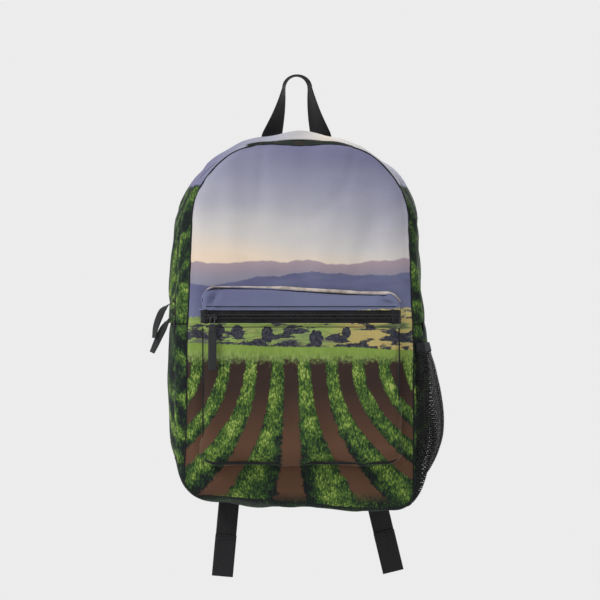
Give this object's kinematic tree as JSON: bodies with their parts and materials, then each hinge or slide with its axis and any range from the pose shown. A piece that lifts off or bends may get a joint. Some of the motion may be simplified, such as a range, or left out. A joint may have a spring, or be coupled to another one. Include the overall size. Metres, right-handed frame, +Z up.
{
  "type": "backpack",
  "caption": "Zipped day backpack with a front pocket, side mesh pocket, padded back and shoulder straps, hung by its haul loop.",
  "frame": {"origin": "inside top of the haul loop, where a peg carries the bag", "axes": "+Z up, -Y out of the bag's front, +Y towards the wearer's back, +X to the right seen from the front"},
  "size_m": [0.3512, 0.187, 0.6098],
  "materials": {
    "printed_fabric": "plain-weave polyester with an all-over landscape print",
    "piping_fabric": "bias-cut polyester binding",
    "zip_tape": "woven zip tape",
    "zip_coil": "nylon coil",
    "slider_metal": "black enamelled zinc",
    "webbing": "woven polypropylene webbing",
    "lining": "plain-weave polyester lining",
    "elastic_binding": "folded elastic binding",
    "foam": "closed-cell foam",
    "air_mesh": "padded spacer mesh",
    "pocket_mesh": "open knitted mesh",
    "buckle_plastic": "moulded acetal, fine texture"
  },
  "bodies": {
    "bag": {"anchor_tab_left": "webbing", "anchor_tab_right": "webbing", "back_cover": "air_mesh", "back_foam": "foam", "back_lining": "lining", "back_piping": "piping_fabric", "bottom_panel": "printed_fabric", "front_gusset_left": "printed_fabric", "front_gusset_right": "printed_fabric", "front_panel": "printed_fabric", "front_piping": "piping_fabric", "haul_loop_feet": "webbing", "laptop_sleeve": "lining", "lower_web_left": "webbing", "lower_web_right": "webbing", "mesh_binding": "elastic_binding", "mesh_pocket": "pocket_mesh", "pocket_coil_lower": "zip_coil", "pocket_coil_upper": "zip_coil", "pocket_face": "printed_fabric", "pocket_tape_lower": "zip_tape", "pocket_tape_upper": "zip_tape", "pocket_top": "printed_fabric", "pocket_zip_tabs": "zip_tape", "rear_gusset": "printed_fabric", "side_panel_left": "printed_fabric", "side_panel_right": "printed_fabric", "sleeve_binding": "elastic_binding", "strap_yoke": "webbing", "zip_coil_front_ends": "zip_coil", "zip_coil_rear": "zip_coil", "zip_end_tabs": "zip_tape", "zip_tape_front_ends": "zip_tape", "zip_tape_rear": "zip_tape"},
    "flap": {"flap_gusset": "printed_fabric", "flap_panel": "printed_fabric", "flap_piping": "piping_fabric", "zip_tape_flap": "zip_tape", "zip_coil_flap": "zip_coil"},
    "haul_loop": {"haul_loop": "webbing"},
    "main_slider_upper": {"main_slider_upper": "slider_metal"},
    "main_pull_upper": {"main_puller_upper": "slider_metal", "main_ribbon_upper": "webbing"},
    "main_slider_lower": {"main_slider_lower": "slider_metal"},
    "main_pull_lower": {"main_puller_lower": "slider_metal", "main_ribbon_lower": "webbing"},
    "pocket_slider": {"pocket_slider": "slider_metal"},
    "pocket_pull": {"pocket_puller": "slider_metal", "pocket_ribbon": "webbing"},
    "strap_left": {"shoulder_strap_left": "air_mesh", "strap_end_loop_left": "webbing"},
    "lock_left": {"ladder_lock_left": "buckle_plastic"},
    "tail_left": {"strap_tail_left": "webbing"},
    "strap_right": {"shoulder_strap_right": "air_mesh", "strap_end_loop_right": "webbing"},
    "lock_right": {"ladder_lock_right": "buckle_plastic"},
    "tail_right": {"strap_tail_right": "webbing"}
  },
  "joints": [
    {"name": "flap_fold", "type": "hinge", "parent": "bag", "child": "flap", "pos_m": [0, -0.119, -0.247], "axis": [1, 0, 0], "range_deg": [0, 110]},
    {"name": "haul_loop_tilt", "type": "hinge", "parent": "bag", "child": "haul_loop", "pos_m": [0, 0.013, -0.068], "axis": [1, 0, 0], "range_deg": [-60, 45]},
    {"name": "main_zip_upper_slide", "type": "slide", "parent": "bag", "child": "main_slider_upper", "axis": [0.0499, 0, 0.9988], "range_m": [0, 0.058]},
    {"name": "main_pull_upper_swing", "type": "hinge", "parent": "main_slider_upper", "child": "main_pull_upper", "pos_m": [-0.14745, -0.08, -0.27083], "axis": [0, 1, 0], "range_deg": [0, 75]},
    {"name": "main_zip_lower_slide", "type": "slide", "parent": "bag", "child": "main_slider_lower", "axis": [0.0499, 0, 0.9988], "range_m": [-0.004, 0.001]},
    {"name": "main_pull_lower_swing", "type": "hinge", "parent": "main_slider_lower", "child": "main_pull_lower", "pos_m": [-0.14815, -0.08, -0.28483], "axis": [0, 1, 0], "range_deg": [-14, 0]},
    {"name": "pocket_zip_slide", "type": "slide", "parent": "bag", "child": "pocket_slider", "axis": [1, 0, 0], "range_m": [0, 0.202]},
    {"name": "pocket_pull_swing", "type": "hinge", "parent": "pocket_slider", "child": "pocket_pull", "pos_m": [-0.1035, -0.1374, -0.29], "axis": [-1, 0, 0], "range_deg": [-4, 105]},
    {"name": "strap_left_lift", "type": "hinge", "parent": "bag", "child": "strap_left", "pos_m": [-0.046, 0.016, -0.092], "axis": [1, 0, 0], "range_deg": [0, 30]},
    {"name": "lock_left_tilt", "type": "hinge", "parent": "strap_left", "child": "lock_left", "pos_m": [-0.071, 0.029, -0.402], "axis": [0.9959, 0, -0.0906], "range_deg": [0, 20]},
    {"name": "tail_left_swing", "type": "hinge", "parent": "lock_left", "child": "tail_left", "pos_m": [-0.07227, 0.029, -0.41594], "axis": [0.9959, 0, -0.0906], "range_deg": [0, 60]},
    {"name": "strap_right_lift", "type": "hinge", "parent": "bag", "child": "strap_right", "pos_m": [0.046, 0.016, -0.092], "axis": [1, 0, 0], "range_deg": [0, 30]},
    {"name": "lock_right_tilt", "type": "hinge", "parent": "strap_right", "child": "lock_right", "pos_m": [0.071, 0.029, -0.402], "axis": [0.9724, 0, 0.2334], "range_deg": [0, 20]},
    {"name": "tail_right_swing", "type": "hinge", "parent": "lock_right", "child": "tail_right", "pos_m": [0.07427, 0.029, -0.41561], "axis": [0.9724, 0, 0.2334], "range_deg": [0, 60]}
  ]
}
